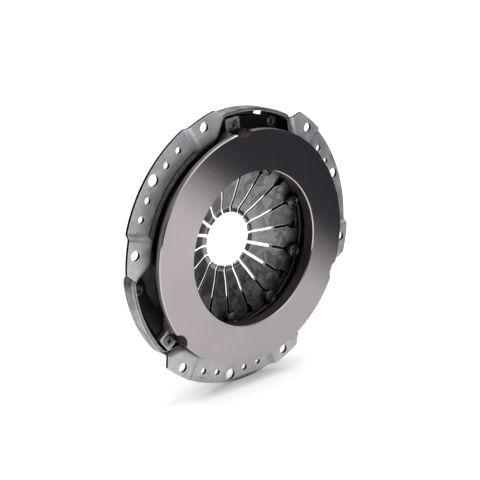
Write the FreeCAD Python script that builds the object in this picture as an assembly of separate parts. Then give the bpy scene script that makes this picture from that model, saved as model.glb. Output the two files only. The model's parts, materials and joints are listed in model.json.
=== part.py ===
# Diaphragm spring clutch pressure plate, also called a clutch cover assembly.
# Millimetres. The turning axis is Y, and -Y is the side that faces the flywheel.
# The origin is the centre of the bolt circle, on the face of the bolting pads.
import FreeCAD, Part
import os
import math
from FreeCAD import Vector

os.makedirs("parts", exist_ok=True)

# Cover: one pressing with three flange segments and three raised bridges
segment_count = 3
sheet = 3.2
flange_r = 133.5
flange_set_back = 4.5
segment_start = 22.7
pad_ramp_angle = 23.2
pad_ramp_width = 3.4
joggle_crest = 4.0
joggle_hollow = 3.4
pad_end_angle = 37.0
neck_angle = 40.3
neck_inset = 1.4
ear_foot_inset = 16.0
ear_foot_spread = 7.0
bridge_inset = 6.9
bridge_front = 3.9
flange_width = 24.1
side_wall_foot = 34.4
side_wall_head = 40.9
back_inside = 18.9
hole_lip_inset = 16.0
hole_lip_rise = 6.4
lip_thinning = 0.24
lip_overrun = 2.0
pocket_start_r = 40.0
back_corner = 6.5
bend_front = 5.8
bend_rear = 2.6
plan_corner = 7.0
plan_hollow = 9.0

# Holes in the flange
bolt_inset = 8.0
bolt_angle = 30.0
bolt_hole_r = 4.5
dowel_inset = 7.25
dowel_hole_r = 5.4
light_inset = 10.8
light_hole_r = 3.15
light_step = 8.0

# Friction ring and cast body of the pressure plate
face_y = -13.8
face_inner_r = 72.35
face_outer_r = 110.0
face_chamfer = 0.8
rim_band = 4.6
rim_shoulder = 0.6
body_gap = 3.2
body_back_y = 2.4
bore_depth = 11.3
back_step_foot = 9.5
back_step_head = 12.5
back_step_deep = 1.8
land_inset = 2.6
land_width = 4.6
land_count = 9
land_share = 0.72
land_crown = 0.6
land_outer_draft = 0.5
land_outer_drop = 1.6
land_inner_draft = 0.2
land_inner_drop = 1.2
back_chamfer = 1.2
lug_tip_gap = 2.7
lug_reach = 6.5
lug_width = 15.6
lug_front = 1.5
lug_back = 6.5
lug_corner = 2.0
web_root_inset = 7.0
web_root_angle = 11.5
web_waist_step = 1.5
web_waist_angle = 9.0
web_tip_inset = 3.0
web_tip_angle = 3.8
spot_face_r = 10.4
spot_face_shift = 1.6

# Diaphragm spring: a cone cut into fingers that curl at their tips
spring_sheet = 2.5
spring_inset = 3.4
spring_slope = 0.265
tip_r = 26.0
tip_crest_r = 30.6
tip_crest_lift = 0.76
tip_drop = 0.28
tip_half_way = 0.48
tip_half_drop = 0.065
tip_curl_end_r = 40.0
tip_fall_start = 0.28
tip_fall_drop = 0.08
tip_fall_end = 0.57
tip_fall_lift = 0.6
finger_count = 18
slot_start = 2.7
slot_width = 2.9
eye_flare_reach = 6.5
eye_inner_reach = 2.3
eye_outer_reach = 5.6
eye_width = 8.5
eye_corner = 1.0

# Fulcrum rings and the rivets that hold them
wire_r = 1.75
fulcrum_inset = 24.0
rivet_shank_r = 4.05
rivet_head_r = 6.5
rivet_head_thick = 1.9
rivet_neck_r = 3.2
rivet_tail_r = 5.4
rivet_tail_thick = 2.2
rivet_edge = 0.8
head_groove_r = 3.4
head_groove_wide = 0.8
head_groove_deep = 0.35

# Drive straps, three thin leaves in each place
strap_lug_inset = 8.57
strap_cover_inset = 12.74
strap_wall_gap = 7.5
leaf_thick = 0.7
leaf_count = 3
leaf_width = 12.6
leaf_end = 7.9
leaf_flat = 8.0
leaf_corner = 3.4
strap_seat_y = 14.5
strap_seat_r = 9.4
strap_rivet_r = 2.6
strap_rivet_bore = 1.7
strap_head_r = 5.2
strap_head_thick = 1.5
strap_head_edge = 0.5
strap_head_round = 1.2
strap_tail_step = 0.6

# Slit in the back of each bridge
slit_angle = -7.3
slit_inset = 5.2
slit_long = 11.3
slit_deep = 4.0

# Clearances: pressed seats, wire rings round the rivets, lands at rest, rivet tails beside the hole's lip
seat_gap = 0.02
wire_gap = 0.2
land_gap = 0.3
tail_gap = 0.4

# How far a cutting shape stands clear, and the closest match when edges are picked
margin = 10.0
nearly = 1e-6
close_by = 0.05

# Angles of the flange segments and of the gaps between them
centre = Vector(0, 0, 0)
axis = Vector(0, 1, 0)
segment_pitch = 360.0 / segment_count
half_pitch = segment_pitch / 2
segment_angles = [segment_start + segment_pitch * k for k in range(segment_count)]
gap_angles = [a + half_pitch for a in segment_angles]

# Radii of the cover, and of what lies inside it
bridge_r = flange_r - bridge_inset
neck_r = bridge_r - neck_inset
segment_wall_r = flange_r - flange_width
bolt_circle_r = flange_r - bolt_inset
dowel_circle_r = flange_r - dowel_inset
light_circle_r = flange_r - light_inset
slit_r = bridge_r - slit_inset
body_back_r = segment_wall_r - sheet - body_gap
spring_outer_r = body_back_r - spring_inset
land_r = spring_outer_r - land_inset
rivet_circle_r = land_r - fulcrum_inset
wire_ring_r = rivet_circle_r + rivet_shank_r + wire_r + wire_gap
hole_lip_r = rivet_circle_r - hole_lip_inset
hole_lip_foot_r = rivet_circle_r - rivet_tail_r - tail_gap

# The two ends of a drive strap, each set in from a side wall of the bridge
lug_r = bridge_r - sheet - lug_tip_gap - lug_reach
strap_cover_r = bridge_r - sheet - strap_wall_gap
strap_lug_angle = half_pitch - side_wall_head - math.degrees(strap_lug_inset / lug_r)
strap_cover_angle = side_wall_head - half_pitch + math.degrees(strap_cover_inset / strap_cover_r)

# Angles of the slots, with a spacer rivet in the eye of every other one
finger_step = 360.0 / finger_count
rivet_angles = [slot_start + finger_step * k for k in range(1, finger_count, 2)]

# Depths that stack up through the spring's fulcrum, and the thickness of a strap's leaves together
cover_back = back_inside + sheet
leaf_pack = leaf_thick * leaf_count
spring_lean = math.hypot(1.0, spring_slope)
wire_step = (spring_sheet / 2 + wire_r) * spring_lean + seat_gap
fulcrum_y = back_inside - seat_gap - wire_r - wire_step

# Depths and a radius that lie clear of the whole part, for cuts that go right through
ahead = face_y - 2 * margin
behind = cover_back + 4 * margin
beyond = flange_r + 2.5 * margin


def polar(r, angle, y):
    """A point at a radius, an angle from +X towards +Z, and a depth."""
    a = math.radians(angle)
    return Vector(r * math.cos(a), y, r * math.sin(a))


def turned(shape, angle):
    """The shape turned about the clutch axis, from +X towards +Z."""
    copy = shape.copy()
    copy.rotate(centre, axis, -angle)
    return copy


def revolved(points):
    """A full ring from a closed outline of radius and depth."""
    corners = [Vector(r, y, 0) for r, y in points]
    outline = Part.makePolygon(corners + [corners[0]])
    return Part.Face(outline).revolve(centre, axis, 360)


def drum(radius, y0, y1, r=0.0, angle=0.0):
    """A cylinder along Y whose centre is at a radius and an angle."""
    return Part.makeCylinder(radius, y1 - y0, polar(r, angle, y0), axis)


def bore(radius, r, angle):
    """A drill that goes right through, at a radius and an angle."""
    return drum(radius, ahead, behind, r, angle)


def block(r0, r1, half_width, y0, y1, angle):
    """A box from one radius to another, centred on a radial line."""
    box = Part.makeBox(r1 - r0, y1 - y0, 2 * half_width, Vector(r0, y0, -half_width))
    return turned(box, angle)


def prism(points, y0, y1):
    """A plan outline of points in the XZ plane, pushed along Y."""
    corners = [Vector(p.x, y0, p.z) for p in points]
    outline = Part.makePolygon(corners + [corners[0]])
    return Part.Face(outline).extrude(Vector(0, y1 - y0, 0))


def fused(shapes):
    """One solid from several that touch, with seams removed."""
    whole = shapes[0]
    if len(shapes) > 1:
        whole = whole.multiFuse(shapes[1:])
    return whole.removeSplitter()


def only_solid(shape):
    """The largest solid of a shape."""
    return max(shape.Solids, key=lambda s: s.Volume)


def save(name, shape):
    """Write one node."""
    solid = only_solid(shape)
    solid.exportStep("parts/%s.step" % name)
    print("%-22s solids %d  volume %9.1f  faces %d" % (name, len(shape.Solids), solid.Volume, len(solid.Faces)))


def along_y(edge):
    """True for a straight edge that runs along the clutch axis."""
    if not isinstance(edge.Curve, (Part.Line, Part.LineSegment)):
        return False
    d = edge.lastVertex().Point.sub(edge.firstVertex().Point)
    return abs(d.y) > 0.99 * d.Length


def upright_edges(solid, radius):
    """Straight edges along Y that lie at a radius."""
    found = []
    for e in solid.Edges:
        p = e.firstVertex().Point
        if along_y(e) and abs(math.hypot(p.x, p.z) - radius) < close_by:
            found.append(e)
    return found


def bridge_wedge(inset, gap, y0, y1):
    """The part of a bridge outside the segment wall, seen in plan."""
    half = half_pitch - side_wall_foot
    half_head = half_pitch - side_wall_head
    middle = polar(bridge_r, gap, 0)
    sides = []
    for s in (-1, 1):
        foot = polar(segment_wall_r, gap + s * half, 0)
        head = polar(bridge_r, gap + s * half_head, 0)
        along = head.sub(foot)
        along.normalize()
        inward = Vector(along.z, 0, -along.x)
        if inward.dot(middle.sub(foot)) < 0:
            inward = inward.multiply(-1)
        shift = inward * inset
        sides.append((foot + shift - along * plan_hollow * 1.5, head + shift + along * margin * 4))
    return prism([sides[0][0], sides[0][1], sides[1][1], sides[1][0]], y0, y1)


def cover_volume(inset):
    """The space that the cover's outer or inner skin closes, open towards the flywheel."""
    back = cover_back - inset
    body = drum(segment_wall_r - inset, ahead, back)
    bridges = []
    for gap in gap_angles:
        wedge = bridge_wedge(inset, gap, ahead, back)
        bridges.append(wedge.common(drum(bridge_r - inset, ahead, back)))
    body = fused([body] + bridges)
    body = body.makeFillet(plan_corner + sheet - inset, upright_edges(body, bridge_r - inset))
    body = body.makeFillet(plan_hollow + inset, upright_edges(body, segment_wall_r - inset))
    rim = [e for e in body.Edges if all(abs(v.Point.y - back) < nearly for v in e.Vertexes)]
    rim = [e for e in rim if e.Length > close_by]
    body = body.makeFillet(back_corner - inset, rim)
    lip_end_r = hole_lip_r - lip_overrun
    lip_back = back + hole_lip_rise * (hole_lip_foot_r - lip_end_r) / (hole_lip_foot_r - hole_lip_r)
    slope = (hole_lip_foot_r - lip_end_r) / (lip_back - back)
    thin = inset * lip_thinning
    lip = revolved([(0, back - sheet), (hole_lip_foot_r + sheet * slope - thin, back - sheet),
                    (lip_end_r - thin, lip_back), (0, lip_back)])
    return body.fuse(lip).removeSplitter()


def middle_pocket(seg, level):
    """The set back middle of one flange segment, with a sloping joggle at each end."""
    top = flange_set_back + level
    front = level - 2 * sheet
    half = pad_ramp_width / 2
    widened = half + 2 * sheet * pad_ramp_width / flange_set_back
    reach = flange_r + beyond
    sides = []
    for s in (-1, 1):
        outline = [Vector(pocket_start_r, front, -s * reach), Vector(pocket_start_r, front, s * widened),
                   Vector(pocket_start_r, top, -s * half), Vector(pocket_start_r, top, -s * reach)]
        ramp = Part.Face(Part.makePolygon(outline + [outline[0]])).extrude(Vector(beyond, 0, 0))
        sides.append(turned(ramp, seg + s * pad_ramp_angle))
    return sides[0].common(sides[1])


def joggle_edges(solid, depth):
    """The long straight edges of the joggles at one depth."""
    found = []
    for e in solid.Edges:
        m = e.valueAt((e.FirstParameter + e.LastParameter) / 2)
        straight = isinstance(e.Curve, (Part.Line, Part.LineSegment))
        if straight and e.Length > 2 * margin and abs(m.y - depth) < nearly:
            found.append(e)
    return found


def front_block(level):
    """Everything behind the joggled front face of the flange, moved back by a distance."""
    solid = drum(flange_r + margin, level, behind)
    for seg in segment_angles:
        solid = solid.cut(middle_pocket(seg, level))
    crest = joggle_hollow if level else joggle_crest
    hollow = joggle_crest if level else joggle_hollow
    solid = solid.makeFillet(crest, joggle_edges(solid, level))
    return solid.makeFillet(hollow, joggle_edges(solid, level + flange_set_back))


def flange_outline():
    """Plan of the three flange segments, each a prism that stops at the bridges."""
    ear_foot_r = neck_r - ear_foot_inset
    ear_foot_angle = neck_angle + ear_foot_spread
    plan = []
    for seg in segment_angles:
        p = [centre, polar(ear_foot_r, seg - ear_foot_angle, 0), polar(neck_r, seg - neck_angle, 0),
             polar(flange_r + close_by, seg - pad_end_angle, 0)]
        for k in range(-3, 4):
            p.append(polar(beyond, seg + k * pad_end_angle * 0.3, 0))
        p.append(polar(flange_r + close_by, seg + pad_end_angle, 0))
        p.append(polar(neck_r, seg + neck_angle, 0))
        p.append(polar(ear_foot_r, seg + ear_foot_angle, 0))
        plan.append(prism(p, ahead, behind))
    return [w.common(drum(flange_r, ahead, behind)) for w in plan]


def bend_edges(solid, skin, level):
    """The edges where the flange face meets the wall, all the way round."""
    found = []
    for e in solid.Edges:
        m = e.valueAt((e.FirstParameter + e.LastParameter) / 2)
        r = math.hypot(m.x, m.z)
        near_face = level - close_by < m.y < flange_set_back + level + close_by
        if near_face and r > hole_lip_foot_r and Part.Vertex(m).distToShape(skin)[0] < close_by:
            found.append(e)
    return found


def make_cover():
    """The pressed cover: shell, flange segments, strap seats and all its holes."""
    outer = cover_volume(0.0)
    inner = cover_volume(sheet)
    front = front_block(0.0).cut(inner)
    front = front.makeFillet(bend_front, bend_edges(front, inner, 0.0))
    rear = front_block(sheet).cut(outer)
    rear = rear.makeFillet(bend_rear, bend_edges(rear, outer, sheet))
    pressing = front.cut(rear)
    segments = [pressing.common(plan) for plan in flange_outline()]
    shell = outer.cut(inner)
    shell = shell.cut(drum(beyond, ahead, bridge_front))
    seats = []
    for gap in gap_angles:
        a = gap + strap_cover_angle
        seat = drum(strap_seat_r, strap_seat_y, cover_back - sheet / 4, strap_cover_r, a)
        seats.append(seat.common(outer))
    whole = fused([shell] + segments + seats)
    cuts = [bore(hole_lip_r, 0, 0)]
    for gap in gap_angles:
        a = gap + strap_cover_angle
        cuts.append(drum(strap_seat_r - sheet, strap_seat_y + sheet, behind, strap_cover_r, a))
        cuts.append(bore(strap_rivet_r, strap_cover_r, a))
        cuts.append(block(slit_r - slit_deep / 2, slit_r + slit_deep / 2, slit_long / 2,
                          lug_back, behind, gap + slit_angle))
    for seg in segment_angles:
        cuts.append(bore(dowel_hole_r, dowel_circle_r, seg))
        for s in (-1, 1):
            cuts.append(bore(bolt_hole_r, bolt_circle_r, seg + s * bolt_angle))
            cuts.append(bore(light_hole_r, light_circle_r, seg + s * light_step))
            cuts.append(bore(light_hole_r, light_circle_r, seg + s * 2 * light_step))
    for a in rivet_angles:
        cuts.append(bore(rivet_neck_r, rivet_circle_r, a))
    return whole.cut(Part.makeCompound(cuts))


def make_lug(angle):
    """One strap lug of the plate: a flat ear and the web that carries it."""
    half = lug_width / 2
    ear = block(land_r - land_width, lug_r + lug_reach, half, lug_front, lug_back, angle)
    tips = [e for e in ear.Edges if along_y(e)]
    tips = [e for e in tips if math.hypot(e.firstVertex().Point.x, e.firstVertex().Point.z) > lug_r]
    ear = ear.makeFillet(lug_corner, tips)
    outline = [(body_back_r - web_root_inset, -web_root_angle),
               (body_back_r + web_waist_step, -web_waist_angle), (lug_r - web_tip_inset, -web_tip_angle)]
    outline += [(r, -a) for r, a in reversed(outline)]
    web = prism([polar(r, angle + a, 0) for r, a in outline], (face_y + body_back_y) / 2, lug_back)
    return [ear, web]


def make_plate():
    """The cast pressure plate: friction ring, fulcrum lands and three strap lugs."""
    c = face_chamfer
    band = face_y + rim_band
    bore_end = face_y + bore_depth
    plate = revolved([
        (face_inner_r + c, face_y), (face_outer_r - c, face_y), (face_outer_r, face_y + c),
        (face_outer_r, band), (face_outer_r - rim_shoulder, band), (body_back_r, body_back_y - back_chamfer),
        (body_back_r - back_chamfer, body_back_y), (face_inner_r + back_step_head, body_back_y),
        (face_inner_r + back_step_foot, body_back_y - back_step_deep), (face_inner_r, bore_end),
        (face_inner_r, face_y + c)])
    top = spring_mid(land_r) - spring_sheet / 2 * spring_lean - land_gap
    half = land_width / 2
    ring = revolved([
        (land_r - half, 0), (land_r + half, 0), (land_r + half - land_outer_draft, top - land_outer_drop),
        (land_r + land_crown, top), (land_r - land_crown, top),
        (land_r - half + land_inner_draft, top - land_inner_drop)])
    step = 360.0 / land_count
    wedge = prism([centre, polar(beyond, -step * land_share / 2, 0), polar(beyond, step * land_share / 2, 0)],
                  ahead, behind)
    land = ring.common(wedge)
    lands = [turned(land, slot_start + step * k) for k in range(land_count)]
    lugs = []
    cuts = []
    for gap in gap_angles:
        a = gap + strap_lug_angle
        lugs += make_lug(a)
        cuts.append(drum(spot_face_r, ahead, lug_front, lug_r + spot_face_shift, a))
        cuts.append(bore(strap_rivet_r, lug_r, a))
    whole = fused([plate] + lands + lugs)
    return whole.cut(Part.makeCompound(cuts))


def spring_mid(r):
    """Depth of the spring's middle surface on its cone."""
    return fulcrum_y - spring_slope * (r - wire_ring_r)


def tip_line():
    """Middle line of a finger tip, from the centre hole out to the straight cone."""
    crest = spring_mid(tip_crest_r) + tip_crest_lift
    curl = tip_crest_r - tip_r
    fade = tip_curl_end_r - tip_crest_r
    fall_end_r = tip_crest_r + fade * tip_fall_end
    return [(tip_r, crest - tip_drop * curl), (tip_r + curl * tip_half_way, crest - tip_half_drop * curl),
            (tip_crest_r, crest), (tip_crest_r + fade * tip_fall_start, crest - tip_fall_drop * fade),
            (fall_end_r, spring_mid(fall_end_r) + tip_fall_lift * tip_crest_lift),
            (tip_curl_end_r, spring_mid(tip_curl_end_r))]


def spring_section():
    """The spring's closed section, curled at the tip and straight on the cone."""
    half = spring_sheet / 2
    mid = tip_line()
    front = []
    rear = []
    for i, (r, y) in enumerate(mid):
        before = mid[max(i - 1, 0)]
        after = mid[min(i + 1, len(mid) - 1)]
        dr = after[0] - before[0]
        dy = after[1] - before[1]
        if i == len(mid) - 1:
            dr = 1.0
            dy = -spring_slope
        d = math.hypot(dr, dy)
        front.append(Vector(r + dy / d * half, y - dr / d * half, 0))
        rear.append(Vector(r - dy / d * half, y + dr / d * half, 0))
    nr = spring_slope / spring_lean * half
    ny = half / spring_lean
    y_out = spring_mid(spring_outer_r)
    out_front = Vector(spring_outer_r - nr, y_out - ny, 0)
    out_rear = Vector(spring_outer_r + nr, y_out + ny, 0)
    front_curve = Part.BSplineCurve()
    front_curve.interpolate(front)
    rear_curve = Part.BSplineCurve()
    rear_curve.interpolate(rear)
    edges = [Part.makeLine(rear[0], front[0]), front_curve.toShape(),
             Part.makeLine(front[-1], out_front), Part.makeLine(out_front, out_rear),
             Part.makeLine(out_rear, rear[-1]), rear_curve.toShape()]
    return Part.Face(Part.Wire(Part.__sortEdges__(edges)))


def make_spring():
    """The diaphragm spring: a coned disc, its slots and the eye at each slot's end."""
    disc = spring_section().revolve(centre, axis, 360)
    half = slot_width / 2
    w = eye_width / 2
    c = eye_corner
    flare = rivet_circle_r - eye_flare_reach
    inner = rivet_circle_r - eye_inner_reach
    outer = rivet_circle_r + eye_outer_reach
    slot = [Vector(0, 0, -half), Vector(flare, 0, -half), Vector(inner, 0, -w), Vector(outer - c, 0, -w),
            Vector(outer, 0, c - w), Vector(outer, 0, w - c), Vector(outer - c, 0, w), Vector(inner, 0, w),
            Vector(flare, 0, half), Vector(0, 0, half)]
    cutter = prism(slot, ahead, behind)
    cuts = [turned(cutter, slot_start + finger_step * k) for k in range(finger_count)]
    return disc.cut(Part.makeCompound(cuts))


def wire_depth(side):
    """Depth of a wire ring's centre, in front of the spring or behind it."""
    return fulcrum_y + side * wire_step


def make_wire(side):
    """A fulcrum ring of round wire."""
    return Part.makeTorus(wire_ring_r, wire_r, Vector(0, wire_depth(side), 0), axis)


def make_spacer_rivet(angle):
    """A shouldered rivet: wide head, shank through the spring, neck through the cover, tail."""
    head_back = wire_depth(-1) - wire_r - seat_gap
    head_front = head_back - rivet_head_thick
    tail_end = cover_back + rivet_tail_thick
    rivet = revolved([
        (0, head_front), (rivet_head_r - rivet_edge, head_front), (rivet_head_r, head_front + rivet_edge),
        (rivet_head_r, head_back), (rivet_shank_r, head_back), (rivet_shank_r, back_inside),
        (rivet_neck_r, back_inside), (rivet_neck_r, cover_back), (rivet_tail_r, cover_back),
        (rivet_tail_r, cover_back + rivet_edge), (rivet_tail_r - 2 * rivet_edge, tail_end), (0, tail_end)])
    outer = head_groove_r + head_groove_wide
    groove = revolved([(head_groove_r, ahead), (outer, ahead), (outer, head_front + head_groove_deep),
                       (head_groove_r, head_front + head_groove_deep)])
    rivet = rivet.cut(groove)
    rivet.translate(polar(rivet_circle_r, angle, 0))
    return rivet


def make_leaf(gap, layer):
    """One thin leaf of a drive strap, sloped between its two flat ends."""
    start = polar(strap_cover_r, gap + strap_cover_angle, 0)
    run = polar(lug_r, gap + strap_lug_angle, 0).sub(start)
    length = run.Length
    half = leaf_width / 2
    y_cover = strap_seat_y - leaf_pack + layer * leaf_thick
    y_lug = lug_back + layer * leaf_thick
    front = [Vector(-leaf_end, y_cover, -half), Vector(leaf_flat, y_cover, -half),
             Vector(length - leaf_flat, y_lug, -half), Vector(length + leaf_end, y_lug, -half)]
    rear = [p.add(Vector(0, leaf_thick, 0)) for p in reversed(front)]
    side = Part.Face(Part.makePolygon(front + rear + [front[0]]))
    leaf = side.extrude(Vector(0, 0, leaf_width))
    leaf = leaf.makeFillet(leaf_corner, [e for e in leaf.Edges if along_y(e)])
    for u in (0, length):
        leaf = leaf.cut(Part.makeCylinder(strap_rivet_r, behind - ahead, Vector(u, ahead, 0), axis))
    leaf.rotate(centre, axis, math.degrees(math.atan2(-run.z, run.x)))
    leaf.translate(start)
    return leaf


def make_strap_rivet(r, angle, y0, y1):
    """A hollow rivet through a stack from depth y0 to y1, with a rolled head at each end."""
    h = strap_head_thick
    w = strap_head_r
    b = strap_rivet_bore
    edge = strap_head_edge
    tail = w - strap_tail_step
    rivet = revolved([
        (b + edge, y0 - h), (w - strap_head_round, y0 - h), (w, y0 - edge), (w, y0), (strap_rivet_r, y0),
        (strap_rivet_r, y1), (tail, y1), (tail, y1 + edge), (tail - strap_head_round, y1 + h),
        (b, y1 + h), (b, y0 - h + edge)])
    rivet.translate(polar(r, angle, 0))
    return rivet


save("cover", make_cover())
save("pressure_plate", make_plate())
save("diaphragm_spring", make_spring())
save("front_wire_ring", make_wire(-1))
save("rear_wire_ring", make_wire(1))
for i, a in enumerate(rivet_angles):
    save("spacer_rivet_%d" % (i + 1), make_spacer_rivet(a))
for i, gap in enumerate(gap_angles):
    for layer in range(leaf_count):
        save("strap_%d_leaf_%d" % (i + 1, layer + 1), make_leaf(gap, layer))
    save("lug_rivet_%d" % (i + 1),
         make_strap_rivet(lug_r, gap + strap_lug_angle, lug_front, lug_back + leaf_pack))
    save("cover_rivet_%d" % (i + 1),
         make_strap_rivet(strap_cover_r, gap + strap_cover_angle, strap_seat_y - leaf_pack, strap_seat_y + sheet))
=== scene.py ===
import bpy
import bmesh
import json
import math
from mathutils import Matrix, Vector

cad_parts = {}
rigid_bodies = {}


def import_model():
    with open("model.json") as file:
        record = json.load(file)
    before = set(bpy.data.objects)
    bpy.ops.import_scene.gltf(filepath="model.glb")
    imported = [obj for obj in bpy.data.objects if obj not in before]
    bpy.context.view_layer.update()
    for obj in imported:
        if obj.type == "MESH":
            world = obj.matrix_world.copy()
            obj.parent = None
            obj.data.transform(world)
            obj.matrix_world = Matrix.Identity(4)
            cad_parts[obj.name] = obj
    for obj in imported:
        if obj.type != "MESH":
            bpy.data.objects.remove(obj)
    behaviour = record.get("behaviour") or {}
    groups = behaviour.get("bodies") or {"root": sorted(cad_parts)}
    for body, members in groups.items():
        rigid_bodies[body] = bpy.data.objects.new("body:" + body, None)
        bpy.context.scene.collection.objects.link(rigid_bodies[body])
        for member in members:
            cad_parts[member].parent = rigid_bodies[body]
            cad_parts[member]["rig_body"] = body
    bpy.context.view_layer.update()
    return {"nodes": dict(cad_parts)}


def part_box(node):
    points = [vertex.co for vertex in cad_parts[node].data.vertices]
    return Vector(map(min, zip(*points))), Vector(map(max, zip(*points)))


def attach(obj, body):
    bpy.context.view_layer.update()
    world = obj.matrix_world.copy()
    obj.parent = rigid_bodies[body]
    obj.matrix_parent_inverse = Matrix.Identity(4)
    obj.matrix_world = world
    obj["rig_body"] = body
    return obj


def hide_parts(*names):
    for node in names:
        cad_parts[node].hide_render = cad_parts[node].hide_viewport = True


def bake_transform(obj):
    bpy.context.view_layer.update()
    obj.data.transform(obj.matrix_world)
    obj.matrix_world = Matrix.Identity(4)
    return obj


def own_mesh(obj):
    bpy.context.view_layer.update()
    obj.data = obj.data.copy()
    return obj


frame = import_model()
print("CAD pieces in:", len(frame["nodes"]))

mm = 0.001


def hexColor(text):
    # sRGB hex to the linear colour that Blender mixes in
    parts = [int(text[i:i + 2], 16) / 255 for i in (1, 3, 5)]
    linear = [c / 12.92 if c <= 0.04045 else ((c + 0.055) / 1.055) ** 2.4 for c in parts]
    return (*linear, 1.0)


def addNode(tree, kind, settings=None, links=None):
    # kind is a shader node's type without its prefix; settings go to the node's own fields first, then to its
    # sockets; links come from other nodes' outputs
    node = tree.nodes.new("ShaderNode" + kind)
    for key, value in (settings or {}).items():
        if isinstance(key, str) and hasattr(node, key):
            setattr(node, key, value)
        else:
            node.inputs[key].default_value = value
    for key, source in (links or {}).items():
        tree.links.new(source, node.inputs[key])
    return node


def newMaterial(name):
    # an empty node tree with its output and a Principled shader, which the recipe then fills
    material = bpy.data.materials.new(name)
    material.use_nodes = True
    tree = material.node_tree
    tree.nodes.clear()
    shader = addNode(tree, "BsdfPrincipled")
    addNode(tree, "OutputMaterial", links={"Surface": shader.outputs["BSDF"]})
    place = addNode(tree, "TexCoord").outputs["Object"]
    return material, tree, shader, place


# shares of open sky where the painted corner shade starts and is full
shadeStarts = 0.78
shadeFull = 0.3
# cosines between the rounded and the true normal where the edge wear and its painted highlight start and are
# full
wearGlintStarts = 0.995
wearGlintFull = 0.9


def cornerShade(tree, reach, starts=shadeStarts, full=shadeFull):
    # painted shade: how far a spot lies in a corner or cavity, where shade falls: 0 in the open, 1 deep
    # inside
    sky = addNode(tree, "AmbientOcclusion", {"samples": 6, "Distance": reach})
    depth = addNode(tree, "MapRange", {"From Min": starts, "From Max": full}, {"Value": sky.outputs["AO"]})
    return depth.outputs[0]


def edgeWearAndGlint(tree, reach):
    # how near a spot lies to an edge, where handling polishes the metal bright and a painted highlight is
    # laid
    rounded = addNode(tree, "Bevel", {"samples": 4, "Radius": reach})
    true = addNode(tree, "NewGeometry")
    along = addNode(tree, "VectorMath", {"operation": "DOT_PRODUCT"},
                    {0: rounded.outputs[0], 1: true.outputs["Normal"]})
    wearGlint = addNode(tree, "MapRange", {"From Min": wearGlintStarts, "From Max": wearGlintFull},
                   {"Value": along.outputs["Value"]})
    return wearGlint.outputs[0]


def axisDistance(tree, place):
    # how far a point lies from the clutch's axis
    flat = addNode(tree, "VectorMath", {"operation": "MULTIPLY", 1: (1, 0, 1)}, {0: place})
    return addNode(tree, "VectorMath", {"operation": "LENGTH"}, {0: flat.outputs[0]}).outputs["Value"]


def mixed(tree, amount, low, high):
    # a colour between two, each a hex value or another node's output
    mix = addNode(tree, "Mix", {"data_type": "RGBA"}, {0: amount})
    for key, color in ((6, low), (7, high)):
        if isinstance(color, str):
            mix.inputs[key].default_value = hexColor(color)
        else:
            tree.links.new(color, mix.inputs[key])
    return mix.outputs[2]


def clouded(tree, place, finish, detail=4.0):
    # the finish's dark and light tones in soft clouds
    cloud = addNode(tree, "TexNoise", {"Scale": 1 / finish["cloud"], "Detail": detail}, {"Vector": place})
    return mixed(tree, cloud.outputs["Fac"], finish["dark"], finish["light"])


def agedShadedAndLit(tree, tone, finish):
    # the tone with its edges rubbed bright under a painted highlight, then painted shade in its corners
    tone = mixed(tree, edgeWearAndGlint(tree, finish["wearGlint"]), tone, finish["wornGlint"])
    return mixed(tree, cornerShade(tree, finish["shadeReach"]), tone, finish["shadeTone"])


def coated(tree, shader, tone, finish):
    # the shader takes the tone, and what the finish has the same all over
    tree.links.new(tone, shader.inputs["Base Color"])
    shader.inputs["Metallic"].default_value = finish["metallic"]
    shader.inputs["Roughness"].default_value = finish["roughness"]


def patchyShine(tree, shader, amount, finish):
    # the roughness spreads about its middle value, in the pattern that amount gives
    low, high = finish["roughness"] - finish["smoother"], finish["roughness"] + finish["rougher"]
    rough = addNode(tree, "MapRange", {"To Min": low, "To Max": high}, {"Value": amount})
    tree.links.new(rough.outputs[0], shader.inputs["Roughness"])


def raised(tree, shader, height, finish):
    # fine relief of the finish's depth, too small to model
    bump = addNode(tree, "Bump", {"Strength": finish["reliefShare"], "Distance": finish["reliefDepth"]},
                   {"Height": height})
    tree.links.new(bump.outputs[0], shader.inputs["Normal"])


# the friction face, and the chamfers round it, whose lighter tone is a painted highlight
groundFinish = {"light": "#979193", "dark": "#8c8688", "cloud": 30 * mm, "metallic": 1.0, "roughness": 0.12,
                "smear": 0.45, "smearTurn": 0.25}
chamferGlintFinish = dict(groundFinish, light="#b4b0af", dark="#a09c9b")


def groundIron(name, finish):
    # fine grey cast iron ground on a rotary table: a satin mirror, smeared across its fine circular marks
    material, tree, shader, place = newMaterial(name)
    coated(tree, shader, clouded(tree, place, finish, detail=3.0), finish)
    around = addNode(tree, "Tangent", {"direction_type": "RADIAL", "axis": "Y"})
    tree.links.new(around.outputs[0], shader.inputs["Tangent"])
    shader.inputs["Anisotropic"].default_value = finish["smear"]
    shader.inputs["Anisotropic Rotation"].default_value = finish["smearTurn"]
    return material


# the turned rim
turnedFinish = {"light": "#9a9694", "dark": "#6f6c6b", "shadeTone": "#1c1a19", "cloud": 9 * mm,
                "shadeReach": 12 * mm, "feed": 1.1 * mm, "reliefShare": 0.3, "reliefDepth": 0.15 * mm,
                "metallic": 0.7, "roughness": 0.42}
# a wave texture of scale s repeats every pi / (10 s)
waveRate = math.pi / 10


def turnedIron(name, finish):
    # rough turned grey iron: duller than the face, with the tool's feed marks running round it
    material, tree, shader, place = newMaterial(name)
    marks = addNode(tree, "TexWave",
                    {"bands_direction": "Y", "Scale": waveRate / finish["feed"], "Distortion": 0.6,
                     "Detail": 2.0}, {"Vector": place})
    tone = clouded(tree, place, finish)
    # painted shade: darker in corners and cavities
    tone = mixed(tree, cornerShade(tree, finish["shadeReach"]), tone, finish["shadeTone"])
    coated(tree, shader, tone, finish)
    raised(tree, shader, marks.outputs["Fac"], finish)
    return material


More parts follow.
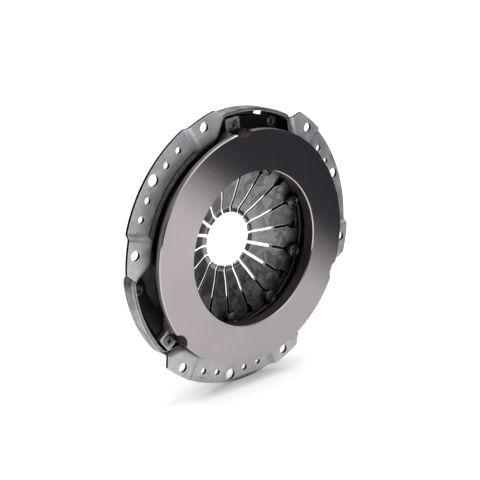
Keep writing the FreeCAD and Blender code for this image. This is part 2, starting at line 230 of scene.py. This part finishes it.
# the cast skin of the plate's back and lugs
castFinish = {"light": "#94908f", "dark": "#5a5756", "shadeTone": "#0f0d0d", "wornGlint": "#cfcbca", "cloud": 14 * mm,
              "wearGlint": 0.6 * mm, "shadeReach": 14 * mm, "grain": 0.9 * mm, "reliefShare": 0.35,
              "reliefDepth": 0.3 * mm, "metallic": 0.6, "roughness": 0.5}


def castIron(name, finish):
    # sand cast iron skin, oiled: grey brown, matt and slightly pebbled, with painted shade black in its
    # corners and a painted highlight on its edges
    material, tree, shader, place = newMaterial(name)
    coated(tree, shader, agedShadedAndLit(tree, clouded(tree, place, finish), finish), finish)
    grain = addNode(tree, "TexNoise", {"Scale": 1 / finish["grain"], "Detail": 2.0}, {"Vector": place})
    raised(tree, shader, grain.outputs["Fac"], finish)
    return material


# the cut edges of the cover's flange and the walls of its holes; their dark tone is partly a painted dark
# reflection
shearedFinish = {"light": "#39373a", "dark": "#121113", "wornGlint": "#ece9ec", "cloud": 5 * mm, "wearGlint": 0.4 * mm,
                 "metallic": 0.8, "roughness": 0.42}


def shearedSteel(name, finish):
    # sheared sheet steel: a dark torn edge that has picked up oil, its darkness partly a painted dark
    # reflection, bright where its borders are rubbed and given a painted highlight
    material, tree, shader, place = newMaterial(name)
    tone = clouded(tree, place, finish)
    tone = mixed(tree, edgeWearAndGlint(tree, finish["wearGlint"]), tone, finish["wornGlint"])
    coated(tree, shader, tone, finish)
    return material


# the cover's pressing: its washed front, its drawn outer walls, its inside behind the spring, darker as
# painted shade, and its bays, near black as painted shade
pressedFinish = {"light": "#c2bfc3", "dark": "#9b989d", "streak": "#6f6c70", "creaseShade": "#2b292c",
                 "wornGlint": "#fbfafb", "shadeTone": "#060506", "mottle": 13 * mm, "patchFrom": 0.32, "patchTo": 0.68,
                 "drawMark": 3.2 * mm, "stainRun": 26 * mm, "stainFrom": 0.6, "stainSpan": 0.1,
                 "stainShare": 0.7, "creaseReach": 4 * mm, "creaseStarts": 0.96, "creaseFull": 0.7,
                 "wearGlint": 0.8 * mm, "shadeReach": 6 * mm, "grain": 1.2 * mm, "reliefShare": 0.12,
                 "reliefDepth": 0.2 * mm, "metallic": 0.75, "roughness": 0.42, "smoother": 0.07,
                 "rougher": 0.12}
drawnFinish = dict(pressedFinish, light="#b6b3b8", dark="#7a777f", streak="#3a373c", mottle=9 * mm,
                   stainFrom=0.54)
# a darker copy for the inside behind the spring: painted shade
shadedInsideFinish = dict(pressedFinish, light="#8d8d94", dark="#5f5e66", shadeReach=5 * mm)
# a near-black copy for the inside of the bays: painted shade
shadedBayFinish = dict(pressedFinish, light="#242325", dark="#141415", streak="#1b1a1c", wornGlint="#4a484b",
                 shadeReach=20 * mm)


def pressedSteel(name, finish):
    # drawn and washed sheet steel: mid grey and satin, stained by the press oil, with painted shade in its
    # creases and corners, and bright on its edges with wear and a painted highlight
    material, tree, shader, place = newMaterial(name)
    cloud = addNode(tree, "TexNoise", {"Scale": 1 / finish["mottle"], "Detail": 6.0, "Roughness": 0.65},
                    {"Vector": place})
    patch = addNode(tree, "MapRange", {"From Min": finish["patchFrom"], "From Max": finish["patchTo"]},
                    {"Value": cloud.outputs["Fac"]})
    tone = mixed(tree, patch.outputs[0], finish["dark"], finish["light"])
    # stains and draw marks run round the part, as the sheet slid through the die
    split = addNode(tree, "SeparateXYZ", links={0: place})
    turn = addNode(tree, "Math", {"operation": "ARCTAN2"}, {0: split.outputs["Z"], 1: split.outputs["X"]})
    slow = addNode(tree, "Math", {"operation": "MULTIPLY", 1: finish["stainRun"]}, {0: turn.outputs[0]})
    reach = addNode(tree, "VectorMath", {"operation": "LENGTH"}, {0: place})
    wrapped = addNode(tree, "CombineXYZ",
                      links={0: slow.outputs[0], 1: split.outputs["Y"], 2: reach.outputs["Value"]})
    marks = addNode(tree, "TexNoise",
                    {"Scale": 1 / finish["drawMark"], "Detail": 5.0, "Roughness": 0.6},
                    {"Vector": wrapped.outputs[0]})
    streak = addNode(tree, "MapRange",
                     {"From Min": finish["stainFrom"], "From Max": finish["stainFrom"] + finish["stainSpan"],
                      "To Max": finish["stainShare"]}, {"Value": marks.outputs["Fac"]})
    tone = mixed(tree, streak.outputs[0], tone, finish["streak"])
    # painted shade darkens the creases
    creaseShade = cornerShade(tree, finish["creaseReach"], finish["creaseStarts"], finish["creaseFull"])
    tone = mixed(tree, creaseShade, tone, finish["creaseShade"])
    coated(tree, shader, agedShadedAndLit(tree, tone, finish), finish)
    patchyShine(tree, shader, patch.outputs[0], finish)
    grain = addNode(tree, "TexNoise", {"Scale": 1 / finish["grain"], "Detail": 3.0}, {"Vector": place})
    raised(tree, shader, grain.outputs["Fac"], finish)
    return material


# the diaphragm spring
springFinish = {"light": "#8a888b", "dark": "#353336", "shadeTone": "#070607", "wornGlint": "#f4f2f4", "rim": "#9c9a9d",
                "rubbedSheen": "#aaa7aa", "blotch": 13 * mm, "patchFrom": 0.455, "patchTo": 0.54,
                "patchShare": 0.4, "haze": 5 * mm, "hazeShare": 0.6, "rimAt": 0.53, "rimSpan": 0.012,
                "rimShare": 0.5,
                "rubbedSheenFrom": 47 * mm, "rubbedSheenTo": 34 * mm, "rubbedSheenShare": 0.35, "wearGlint": 0.7 * mm,
                "shadeReach": 12 * mm, "metallic": 0.9, "roughness": 0.3, "smoother": 0.08, "rougher": 0.14}


def springSteel(name, finish):
    # hardened, shot peened and oil blackened spring steel: dark with sharp blotches, bright along the
    # fingers' edges with wear and a painted highlight, with painted shade in its corners
    material, tree, shader, place = newMaterial(name)
    cloud = addNode(tree, "TexNoise",
                    {"Scale": 1 / finish["blotch"], "Detail": 7.0, "Roughness": 0.62, "Distortion": 0.7},
                    {"Vector": place})
    patch = addNode(tree, "MapRange", {"From Min": finish["patchFrom"], "From Max": finish["patchTo"]},
                    {"Value": cloud.outputs["Fac"]})
    haze = addNode(tree, "TexNoise", {"Scale": 1 / finish["haze"], "Detail": 4.0}, {"Vector": place})
    faint = addNode(tree, "Math", {"operation": "MULTIPLY", 1: finish["hazeShare"]},
                    {0: haze.outputs["Fac"]})
    most = addNode(tree, "Math", {"operation": "MULTIPLY_ADD", 1: finish["patchShare"]},
                   {0: patch.outputs[0], 2: faint.outputs[0]})
    tone = mixed(tree, most.outputs[0], finish["dark"], finish["light"])
    # each dried stain has a pale rim
    off = addNode(tree, "Math", {"operation": "SUBTRACT", 1: finish["rimAt"]}, {0: cloud.outputs["Fac"]})
    near = addNode(tree, "Math", {"operation": "ABSOLUTE"}, {0: off.outputs[0]})
    rim = addNode(tree, "MapRange",
                  {"From Min": finish["rimSpan"], "From Max": 0.0, "To Max": finish["rimShare"]},
                  {"Value": near.outputs[0]})
    tone = mixed(tree, rim.outputs[0], tone, finish["rim"])
    # towards their tips the fingers are rubbed clean, and lighter there as a painted sheen
    rubbedSheen = addNode(tree, "MapRange",
                      {"From Min": finish["rubbedSheenFrom"], "From Max": finish["rubbedSheenTo"],
                       "To Max": finish["rubbedSheenShare"]}, {"Value": axisDistance(tree, place)})
    tone = mixed(tree, rubbedSheen.outputs[0], tone, finish["rubbedSheen"])
    coated(tree, shader, agedShadedAndLit(tree, tone, finish), finish)
    patchyShine(tree, shader, cloud.outputs["Fac"], finish)
    return material


# the small hardened parts, and the plate's bore and notches, which hold old oil and are darkened as painted
# shade
smallFinish = {"shadeTone": "#0c0b0b", "cloud": 4 * mm, "wearGlint": 0.6 * mm, "shadeReach": 6 * mm, "metallic": 0.85}
oilAndShadeFinish = dict(smallFinish, light="#5a524e", dark="#3b3431", wornGlint="#8f8683", roughness=0.4)
strapFinish = dict(smallFinish, light="#2c2b2d", dark="#131314", wornGlint="#5a585a", roughness=0.4)
rivetFinish = dict(smallFinish, light="#726e6c", dark="#45413f", wornGlint="#e6e3e1", roughness=0.3,
                   shadeReach=4 * mm)
# the wire's dark tone is tempered brown darkened as painted shade
shadedWireFinish = dict(smallFinish, light="#473c37", dark="#1c1816", wornGlint="#cdc3bb", roughness=0.36)


def darkSteel(name, finish):
    # metal blackened in oil: dark and satin, rubbed bright on its edges with a painted highlight, with
    # painted shade in its corners
    material, tree, shader, place = newMaterial(name)
    coated(tree, shader, agedShadedAndLit(tree, clouded(tree, place, finish), finish), finish)
    return material


# the lugs' front faces: a spot face turned round each notch, darkened as painted shade, and rubbed cast skin
# beyond it
lugFinish = {"spotShade": "#3b3838", "light": "#a8a3a2", "dark": "#7f7a79", "shadeTone": castFinish["shadeTone"],
             "wornGlint": "#efebea", "cloud": 6 * mm, "spotEnds": 109.6 * mm, "skinStarts": 110.4 * mm,
             "wearGlint": 0.7 * mm, "shadeReach": 5 * mm, "metallic": 0.9, "roughness": 0.38}


def lugIron(name, finish):
    # cast iron that a cutter has faced: dark in the notch as painted shade, satin where the ear stands clear
    material, tree, shader, place = newMaterial(name)
    beyond = addNode(tree, "MapRange", {"From Min": finish["spotEnds"], "From Max": finish["skinStarts"]},
                     {"Value": axisDistance(tree, place)})
    tone = mixed(tree, beyond.outputs[0], finish["spotShade"], clouded(tree, place, finish))
    coated(tree, shader, agedShadedAndLit(tree, tone, finish), finish)
    return material


ground = groundIron("groundCastIron", groundFinish)
chamferGlint = groundIron("chamferGlintCastIron", chamferGlintFinish)
turned = turnedIron("turnedCastIron", turnedFinish)
cast = castIron("sandCastIron", castFinish)
pressed = pressedSteel("pressedSheetSteel", pressedFinish)
drawn = pressedSteel("drawnSheetSteel", drawnFinish)
inside = pressedSteel("shadedInsideSheetSteel", shadedInsideFinish)
bay = pressedSteel("shadedBaySheetSteel", shadedBayFinish)
sheared = shearedSteel("shearedSheetSteel", shearedFinish)
spotFaced = lugIron("spotFacedIron", lugFinish)
oilAndShade = darkSteel("oiledAndShadedTurnedIron", oilAndShadeFinish)
spring = springSteel("blackenedSpringSteel", springFinish)
strapBlack = darkSteel("blackenedStripSteel", strapFinish)
rivetDark = darkSteel("blackenedRivetSteel", rivetFinish)
wireBrown = darkSteel("temperedShadedWire", shadedWireFinish)
print("materials ready")


def meshFrom(body, name):
    # the modelled body becomes a mesh
    mesh = bpy.data.meshes.new(name)
    body.to_mesh(mesh)
    body.free()
    return mesh


def newObject(name, data):
    piece = bpy.data.objects.new(name, data)
    bpy.context.scene.collection.objects.link(piece)
    return piece


def stands(piece, nodeName):
    # the piece moves with its node's body and stands for that node
    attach(piece, frame["nodes"][nodeName]["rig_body"])
    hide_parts(nodeName)


# points closer than sameSpot are one; faces within flatWithin degrees of one plane become one face
sameSpot = 0.001 * mm
flatWithin = math.radians(0.3)
sharpFrom = math.radians(30)


def dressed(nodeName, pieceName, materials, edge, choose=None):
    # a welded copy of a CAD node with eased edges, which stands for it
    source = frame["nodes"][nodeName]
    body = bmesh.new()
    body.from_mesh(source.data)
    bmesh.ops.remove_doubles(body, verts=body.verts, dist=sameSpot)
    bmesh.ops.dissolve_limit(body, angle_limit=flatWithin, verts=body.verts, edges=body.edges,
                             delimit={"NORMAL"})
    for face in body.faces:
        face.smooth = True
        if choose:
            face.material_index = choose(face)
    mesh = meshFrom(body, pieceName)
    if "custom_normal" in mesh.attributes:
        mesh.attributes.remove(mesh.attributes["custom_normal"])
    for material in materials:
        mesh.materials.append(material)
    mesh.set_sharp_from_angle(angle=sharpFrom)
    piece = newObject(pieceName, mesh)
    if edge:
        soften = piece.modifiers.new("easedEdges", "BEVEL")
        soften.width = edge
        soften.segments = 2
        soften.limit_method = "ANGLE"
        soften.angle_limit = sharpFrom
        soften.use_clamp_overlap = True
        soften.harden_normals = True
    return piece


def faceSense(face):
    # a face's middle, its distance from the axis, and how much of its normal points outwards and forwards
    middle = face.calc_center_median()
    radius = math.hypot(middle.x, middle.z)
    outward = (face.normal.x * middle.x + face.normal.z * middle.z) / radius
    return middle, radius, outward, -face.normal.y


def turnFrom(middle, first):
    # the angle in degrees from a spot to the nearest of three directions, one of which is first
    third = 120
    return abs((math.degrees(math.atan2(middle.z, middle.x)) - first + third / 2) % third - third / 2)


# zones by radius from the axis, depth behind the friction face and angle from a lug; the last five say how
# much of a face's normal points one way
plateZones = {"edge": 0.25 * mm, "chamferDepth": 0.9 * mm, "rimDepth": 4.61 * mm, "rimFrom": 109 * mm,
              "boreTo": 72.5 * mm, "spotDepth": 5 * mm, "spotFrom": 98 * mm, "notchDepth": 15.3 * mm,
              "notchFrom": 95 * mm, "notchTo": 111 * mm, "lug": 97.5, "lugHalf": 6,
              "flat": 0.97, "faced": 0.9, "slanted": 0.1, "outer": 0.7, "upright": 0.3}
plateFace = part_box("pressure_plate")[0].y


def plateFinish(face):
    # 0 ground face, 1 cast skin, 2 turned rim, 3 oiled bore and notches darkened as painted shade, 4 spot
    # faces of the lugs, 5 chamfers with a painted highlight
    zones = plateZones
    middle, radius, outward, front = faceSense(face)
    depth = middle.y - plateFace
    if depth < zones["chamferDepth"] and front > zones["slanted"]:
        return 0 if front > zones["flat"] else 5
    if depth < zones["rimDepth"] and radius > zones["rimFrom"] and outward > zones["outer"]:
        return 2
    if radius < zones["boreTo"]:
        return 3
    if front > zones["faced"] and depth > zones["spotDepth"] and radius > zones["spotFrom"]:
        return 4
    nearNotch = zones["notchFrom"] < radius < zones["notchTo"] and depth < zones["notchDepth"]
    inNotch = outward < zones["outer"] or turnFrom(middle, zones["lug"]) < zones["lugHalf"]
    return 3 if abs(front) < zones["upright"] and nearNotch and inNotch else 1


frictionPlate = dressed("pressure_plate", "frictionPlate", [ground, cast, turned, oilAndShade, spotFaced, chamferGlint],
                        plateZones["edge"], choose=plateFinish)
stands(frictionPlate, "pressure_plate")
print("plate done")

# zones by radius from the axis, depth behind the pads and angle from a flange segment; the last five say how
# much of a face's normal points one way
coverZones = {"edge": 0.75 * mm, "segment": 22.7, "segmentHalf": 41, "flangeFrom": 116 * mm,
              "flangeDepth": 8.6 * mm, "insideTo": 90 * mm, "bayDepth": 9 * mm, "bridgeFrom": 112 * mm,
              "upright": 0.3, "outer": 0.5, "forward": 0.5, "inner": 0.3, "faced": 0.7}


def coverFinish(face):
    # 0 pressed front, 1 sheared edges, 2 drawn outer walls, 3 inside behind the spring, 4 inside the bays; 3
    # and 4 are darker as painted shade
    zones = coverZones
    middle, radius, outward, front = faceSense(face)
    onFlange = turnFrom(middle, zones["segment"]) < zones["segmentHalf"]
    outside = radius > zones["flangeFrom"]
    if onFlange and outside and middle.y < zones["flangeDepth"] and abs(front) < zones["upright"]:
        return 1
    if outward > zones["outer"] and outside:
        return 2
    if radius < zones["insideTo"] and front > zones["forward"]:
        return 3
    inBay = front > zones["forward"] or (outward < -zones["inner"] and radius > zones["insideTo"])
    if middle.y > zones["bayDepth"] and inBay:
        return 4
    onBridge = not onFlange and radius > zones["bridgeFrom"] and middle.y < zones["bayDepth"]
    return 1 if onBridge and front > zones["faced"] else 0


pressedCover = dressed("cover", "pressedCover", [pressed, sheared, drawn, inside, bay], coverZones["edge"],
                       choose=coverFinish)
stands(pressedCover, "cover")
print("cover done")

# a punched wall's normal points round the axis by at least this share
springZones = {"edge": 0.45 * mm, "sideways": 0.6}


def springFace(face):
    # 0 the fingers' faces, 1 the punched walls of the slots and eyes, dark partly as a painted dark
    # reflection
    middle = face.calc_center_median()
    radius = math.hypot(middle.x, middle.z)
    sideways = (face.normal.z * middle.x - face.normal.x * middle.z) / radius
    return 1 if abs(sideways) > springZones["sideways"] else 0


fingerSpring = dressed("diaphragm_spring", "fingerSpring", [spring, sheared], springZones["edge"],
                       choose=springFace)
stands(fingerSpring, "diaphragm_spring")
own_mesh(fingerSpring)
print("spring done")

lathe = {"steps": 40, "sharpFrom": math.radians(50)}
# profiles in mm, radius and depth: a strap rivet has a rolled head round a blind dimple, a spacer rivet a
# grooved one
strapRivet = {
    "front": [(0, 2.3), (1.5, 2.3), (1.95, 1.95), (2.1, 0.6), (2.3, 0.2), (2.75, 0), (3.3, 0.1), (3.65, 0.42),
              (3.95, 0.5), (4.3, 0.4), (4.75, 0.55), (5.1, 0.85), (5.2, 1.25), (5.2, 1.5), (2.58, 1.5)],
    "back": [(2.58, 1.5), (4.6, 1.5), (4.6, 1.0), (4.2, 0.45), (3.4, 0.05), (2.6, 0), (2.0, 0.35), (1.8, 1.2),
             (0, 1.2)]}
spacerRivet = {
    "front": [(0, 0.45), (1.5, 0.45), (1.9, 0.1), (2.3, 0), (2.8, 0.08), (3.1, 0.5), (3.7, 0.55), (4.0, 0.1),
              (4.5, 0), (5.3, 0.06), (5.9, 0.3), (6.3, 0.7), (6.5, 1.2), (6.5, 1.9), (4.03, 1.9)],
    "back": [(4.03, 5.4), (3.18, 5.4), (3.18, 2.2), (5.4, 2.2), (5.4, 1.0), (5.0, 0.4), (4.2, 0), (0, 0)]}


def spunRivet(nodeName, pieceName, profile):
    # a rivet turned about its own axis: the profile's front is measured from the head, its back from the tail
    low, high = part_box(nodeName)
    middle = (low + high) / 2
    line = [(r, low.y + y * mm) for r, y in profile["front"]]
    line += [(r, high.y - y * mm) for r, y in profile["back"]]
    body = bmesh.new()
    points = [body.verts.new((middle.x + r * mm, y, middle.z)) for r, y in line]
    edges = [body.edges.new(pair) for pair in zip(points, points[1:])]
    bmesh.ops.spin(body, geom=points + edges, cent=(middle.x, 0, middle.z), axis=(0, 1, 0), dvec=(0, 0, 0),
                   angle=2 * math.pi, steps=lathe["steps"], use_merge=True, use_duplicate=False)
    bmesh.ops.remove_doubles(body, verts=body.verts, dist=sameSpot)
    bmesh.ops.recalc_face_normals(body, faces=body.faces)
    for face in body.faces:
        face.smooth = True
    mesh = meshFrom(body, pieceName)
    mesh.materials.append(rivetDark)
    mesh.set_sharp_from_angle(angle=lathe["sharpFrom"])
    stands(newObject(pieceName, mesh), nodeName)


# a leaf lies flat for this many mm from the middles of its rivets, and bends between; the ends of the bend
# are found, but the leaf is left as the CAD has it
leafShape = {"edge": 0.12 * mm, "flat": 8}


def strapEnds(number):
    # the two ends of the leaf's bend, next to its cover rivet and its lug rivet
    ends = [(low + high) / 2
            for low, high in (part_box("cover_rivet_%s" % number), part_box("lug_rivet_%s" % number))]
    run = ends[1] - ends[0]
    run.y = 0
    flat = run.normalized() * leafShape["flat"] * mm
    return ends[0] + flat, ends[1] - flat


for name in sorted(frame["nodes"]):
    if name.startswith("strap"):
        leaf = dressed(name, name.replace("strap", "drive"), [strapBlack], leafShape["edge"])
        start, end = strapEnds(name.split("_")[1])
        end.y = start.y
        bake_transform(leaf)
        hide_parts(name)
    elif "rivet" in name:
        profile = spacerRivet if name.startswith("spacer") else strapRivet
        spunRivet(name, name.replace("rivet", "pin"), profile)
    elif "wire" in name:
        stands(dressed(name, name.replace("wire", "fulcrum"), [wireBrown], 0), name)
print("small pieces done")

# studio: a pale floor, a dome that is bright overhead, one softbox, and cards that only mirrored light sees
floorLevel = -133.5 * mm
paper = {"size": 40.0, "color": "#f7f7f7", "roughness": 0.9, "glow": 0.36, "seenGlow": 0.15}
dome = {"color": "#ffffff", "high": 1.6, "low": 0.06, "from": 0.2, "to": 0.85,
        "rightFrom": 0.15, "rightTo": 0.75, "rightDim": 0.25}


def makeFloor():
    plane = bmesh.new()
    bmesh.ops.create_grid(plane, x_segments=1, y_segments=1, size=paper["size"] / 2)
    bmesh.ops.translate(plane, vec=(0, 0, floorLevel), verts=plane.verts)
    floor = newObject("paleFloor", meshFrom(plane, "paleFloor"))
    material, tree, shader, _ = newMaterial("mattPaper")
    shader.inputs["Base Color"].default_value = hexColor(paper["color"])
    shader.inputs["Roughness"].default_value = paper["roughness"]
    shader.inputs["Emission Color"].default_value = hexColor(paper["color"])
    # most of the glow is for the metal: the paper itself is lit by the softbox, so its shadow stays deep
    seen = addNode(tree, "LightPath").outputs["Is Camera Ray"]
    glow = addNode(tree, "MapRange", {"To Min": paper["glow"], "To Max": paper["seenGlow"]}, {"Value": seen})
    tree.links.new(glow.outputs[0], shader.inputs["Emission Strength"])
    floor.data.materials.append(material)


def makeDome():
    # bright overhead and dim at the horizon; polished metal finds a dark flag on its right, and the camera
    # sees plain white
    world = bpy.data.worlds.new("studioWorld")
    bpy.context.scene.world = world
    world.use_nodes = True
    tree = world.node_tree
    sky = tree.nodes["Background"]
    sky.inputs["Color"].default_value = hexColor(dome["color"])
    way = addNode(tree, "TexCoord").outputs["Generated"]
    split = addNode(tree, "SeparateXYZ", links={0: way})
    rise = addNode(tree, "MapRange",
                   {"interpolation_type": "SMOOTHSTEP", "From Min": dome["from"], "From Max": dome["to"],
                    "To Min": dome["low"], "To Max": dome["high"]}, {"Value": split.outputs["Z"]})
    dim = addNode(tree, "MapRange",
                  {"From Min": dome["rightFrom"], "From Max": dome["rightTo"], "To Min": 1.0,
                   "To Max": dome["rightDim"]}, {"Value": split.outputs["X"]})
    ray = addNode(tree, "LightPath")
    flagged = addNode(tree, "Mix", {"data_type": "FLOAT", 2: 1.0},
                      {0: ray.outputs["Is Glossy Ray"], 3: dim.outputs[0]})
    lit = addNode(tree, "Math", {"operation": "MULTIPLY"}, {0: rise.outputs[0], 1: flagged.outputs[0]})
    strength = addNode(tree, "Mix", {"data_type": "FLOAT", 3: 1.0},
                       {0: ray.outputs["Is Camera Ray"], 2: lit.outputs[0]})
    tree.links.new(strength.outputs[0], sky.inputs["Strength"])


# thin felt lies to the right, black felt stands behind on the left, and grey paper lies in front of it; the
# grey paper is a painted shadow of the object on the floor, seen only in reflections
cardRoughness = 0.95
floorCard = {"color": "#34343e", "size": (4.2, 4.3), "place": (1.9, -1.85, floorLevel + 4 * mm), "tilt": 0,
             "slant": 0.35, "thinTo": 0.11, "fullFrom": 0.325,
             "shadeDepth": 0.16, "shadeX": (0.0, 0.15), "shadeY": (-0.36, -0.18)}
standingCard = {"color": "#0b0b11", "size": (1.7, 0.95), "place": (-1.0, 0.16, floorLevel + 0.48), "tilt": 90}
sideShadowCard = {"color": "#cfcfcf", "size": (1.0, 0.17), "place": (-0.54, 0.075, floorLevel + 4 * mm), "tilt": 0}


def placeCard(name, card, stock):
    sheet = bmesh.new()
    turn = Matrix.Rotation(math.radians(card["tilt"]), 3, "X")
    bmesh.ops.create_grid(sheet, x_segments=1, y_segments=1, size=0.5)
    bmesh.ops.scale(sheet, vec=(*card["size"], 1), verts=sheet.verts)
    bmesh.ops.rotate(sheet, cent=(0, 0, 0), matrix=turn, verts=sheet.verts)
    bmesh.ops.translate(sheet, vec=card["place"], verts=sheet.verts)
    mesh = meshFrom(sheet, name)
    mesh.materials.append(stock)
    piece = newObject(name, mesh)
    piece.visible_camera = False
    piece.visible_diffuse = False
    piece.visible_shadow = False


def cardStock(name, card):
    # a matt sheet in the card's colour
    stock = newMaterial(name)
    shader = stock[2]
    shader.inputs["Base Color"].default_value = hexColor(card["color"])
    shader.inputs["Roughness"].default_value = cardRoughness
    return stock


def makeCards():
    # the floor card thins out to nothing towards the object, and shades the floor just in front of it
    felt, tree, shader, place = cardStock("thinningFelt", floorCard)
    split = addNode(tree, "SeparateXYZ", links={0: place})
    reach = addNode(tree, "VectorMath", {"operation": "DOT_PRODUCT", 1: (1, floorCard["slant"], 0)},
                    {0: place})
    full = addNode(tree, "MapRange",
                   {"interpolation_type": "SMOOTHSTEP", "From Min": floorCard["thinTo"],
                    "From Max": floorCard["fullFrom"]}, {"Value": reach.outputs["Value"]})
    across = addNode(tree, "MapRange",
                     {"From Min": floorCard["shadeX"][0], "From Max": floorCard["shadeX"][1],
                      "To Max": floorCard["shadeDepth"]}, {"Value": split.outputs["X"]})
    along = addNode(tree, "MapRange",
                    {"From Min": floorCard["shadeY"][0], "From Max": floorCard["shadeY"][1]},
                    {"Value": split.outputs["Y"]})
    shade = addNode(tree, "Math", {"operation": "MULTIPLY"}, {0: across.outputs[0], 1: along.outputs[0]})
    cover = addNode(tree, "Math", {"operation": "MAXIMUM"}, {0: full.outputs[0], 1: shade.outputs[0]})
    tree.links.new(cover.outputs[0], shader.inputs["Alpha"])
    placeCard("floorCard", floorCard, felt)
    placeCard("standingCard", standingCard, cardStock("blackFelt", standingCard)[0])
    placeCard("sideShadowCard", sideShadowCard, cardStock("greyShadowPaper", sideShadowCard)[0])


topBox = {"place": (0.45, 0.0, 1.6), "aim": (0, 0, 0), "size": (1.2, 1.0), "watts": 12}


def placeSoftbox(name, box):
    light = bpy.data.lights.new(name, "AREA")
    light.shape = "RECTANGLE"
    light.size, light.size_y = box["size"]
    light.energy = box["watts"]
    lamp = newObject(name, light)
    lamp.location = box["place"]
    lamp.rotation_euler = (Vector(box["aim"]) - Vector(box["place"])).to_track_quat("-Z", "Y").to_euler()
    lamp.visible_camera = False


makeFloor()
makeDome()
makeCards()
placeSoftbox("topBox", topBox)
print("studio ready")

bpy.context.scene.view_settings.view_transform = "Standard"
# the camera that the photograph's circles gave
cameraPlace = {"azimuth": -41.374, "elevation": 17.2236, "distance": 986.217 * mm, "aim": (0, 4.465 * mm, 0),
               "lens": 80.406, "sensor": 36, "shiftX": -0.00707, "shiftY": 0.00917}


def placeCamera():
    data = bpy.data.cameras.new("studioCamera")
    data.lens = cameraPlace["lens"]
    data.sensor_width = cameraPlace["sensor"]
    data.shift_x = cameraPlace["shiftX"]
    data.shift_y = cameraPlace["shiftY"]
    camera = newObject("studioCamera", data)
    turn = math.radians(cameraPlace["azimuth"])
    rise = math.radians(cameraPlace["elevation"])
    away = Vector((math.sin(turn) * math.cos(rise), -math.cos(turn) * math.cos(rise), math.sin(rise)))
    camera.location = Vector(cameraPlace["aim"]) + away * cameraPlace["distance"]
    camera.rotation_euler = (-away).to_track_quat("-Z", "Y").to_euler()
    bpy.context.scene.camera = camera


placeCamera()
print("camera placed")
